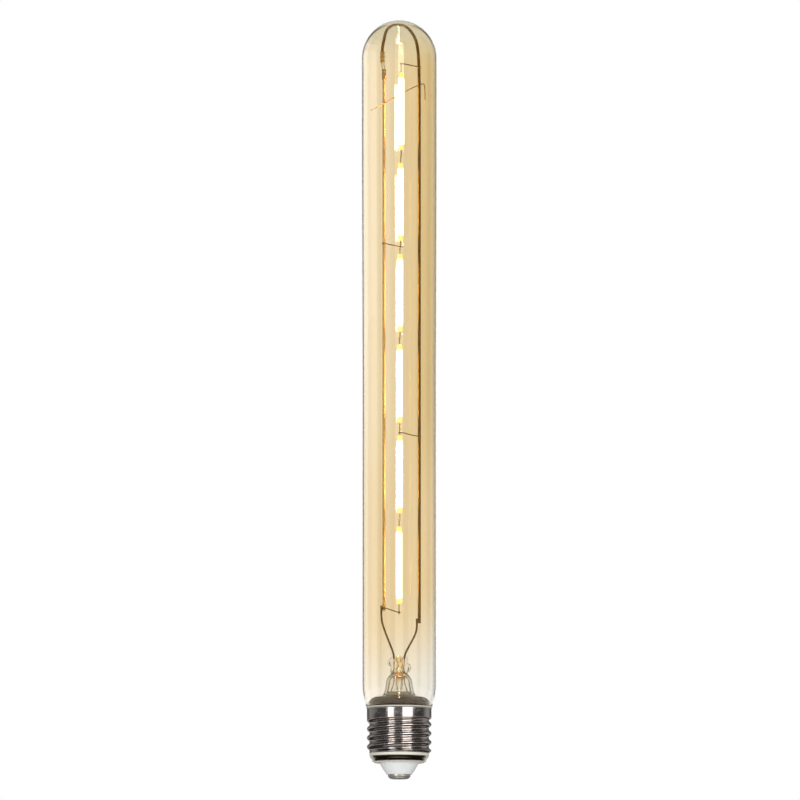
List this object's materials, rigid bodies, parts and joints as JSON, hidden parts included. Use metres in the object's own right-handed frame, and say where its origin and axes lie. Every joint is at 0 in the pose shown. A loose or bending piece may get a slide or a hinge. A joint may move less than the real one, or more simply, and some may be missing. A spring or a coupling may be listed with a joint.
{
  "type": "led light bulb",
  "caption": "Tubular amber glass light bulb with a column of LED filaments on two rods and an E27 screw cap.",
  "frame": {"origin": "centre of the flat at the tip of the centre contact", "axes": "+Z along the bulb's axis from the contact to the dome, -Y towards the viewer, with the wire frame in the XZ plane"},
  "size_m": [0.0308, 0.0308, 0.3082],
  "materials": {
    "amber_glass": "blown glass with a thin amber tint",
    "clear_glass": "clear drawn glass",
    "phosphor": "yellow phosphor in clear silicone, lit",
    "carrier_strip": "ceramic strip",
    "clip_metal": "stamped tinned strip",
    "rod_metal": "drawn plated steel",
    "nickel_wire": "drawn nickel",
    "spring_wire": "hard drawn wire",
    "ferrule_metal": "crimped sleeve",
    "copper_wire": "copper",
    "cap_plating": "bright nickel plate on formed sheet",
    "contact_metal": "plated button",
    "white_insulator": "moulded white",
    "cement": "capping cement",
    "circuit_board": "laminate",
    "grey_sleeve": "insulating tube",
    "black_resin": "moulded resin",
    "brown_resin": "dipped resin",
    "blue_resin": "dipped resin",
    "capacitor_can": "sleeved can",
    "ferrite": "wound drum core"
  },
  "bodies": {
    "root": {"bottom_tie_wire": "nickel_wire", "bridge_rectifier": "black_resin", "cap_cement": "cement", "cap_insulator": "white_insulator", "cap_shell": "cap_plating", "centre_contact": "contact_metal", "centring_spring_wire": "spring_wire", "ceramic_capacitor": "brown_resin", "contact_lead_wire": "copper_wire", "driver_board": "circuit_board", "driver_chip": "black_resin", "electrolytic_capacitor": "capacitor_can", "filament_1_bottom_clip": "clip_metal", "filament_1_phosphor": "phosphor", "filament_1_strip": "carrier_strip", "filament_1_top_clip": "clip_metal", "filament_2_bottom_clip": "clip_metal", "filament_2_phosphor": "phosphor", "filament_2_strip": "carrier_strip", "filament_2_top_clip": "clip_metal", "filament_3_bottom_clip": "clip_metal", "filament_3_phosphor": "phosphor", "filament_3_strip": "carrier_strip", "filament_3_top_clip": "clip_metal", "filament_4_bottom_clip": "clip_metal", "filament_4_phosphor": "phosphor", "filament_4_strip": "carrier_strip", "filament_4_top_clip": "clip_metal", "filament_5_bottom_clip": "clip_metal", "filament_5_phosphor": "phosphor", "filament_5_strip": "carrier_strip", "filament_5_top_clip": "clip_metal", "filament_6_bottom_clip": "clip_metal", "filament_6_phosphor": "phosphor", "filament_6_strip": "carrier_strip", "filament_6_top_clip": "clip_metal", "fuse_resistor": "blue_resin", "glass_envelope": "amber_glass", "inductor": "ferrite", "insulating_link": "clear_glass", "insulating_sleeve": "grey_sleeve", "left_lead_wire": "nickel_wire", "left_outer_lead": "copper_wire", "left_seal_wire": "copper_wire", "left_support_rod": "rod_metal", "lower_ferrule": "ferrule_metal", "lower_right_tie_wire": "nickel_wire", "right_lead_wire": "nickel_wire", "right_outer_lead": "copper_wire", "right_seal_wire": "copper_wire", "right_support_rod": "rod_metal", "shell_lead_wire": "copper_wire", "stem_exhaust_tube": "clear_glass", "stem_flare": "clear_glass", "top_tie_wire": "nickel_wire", "upper_ferrule": "ferrule_metal", "upper_left_tie_wire": "nickel_wire"}
  },
  "joints": []
}
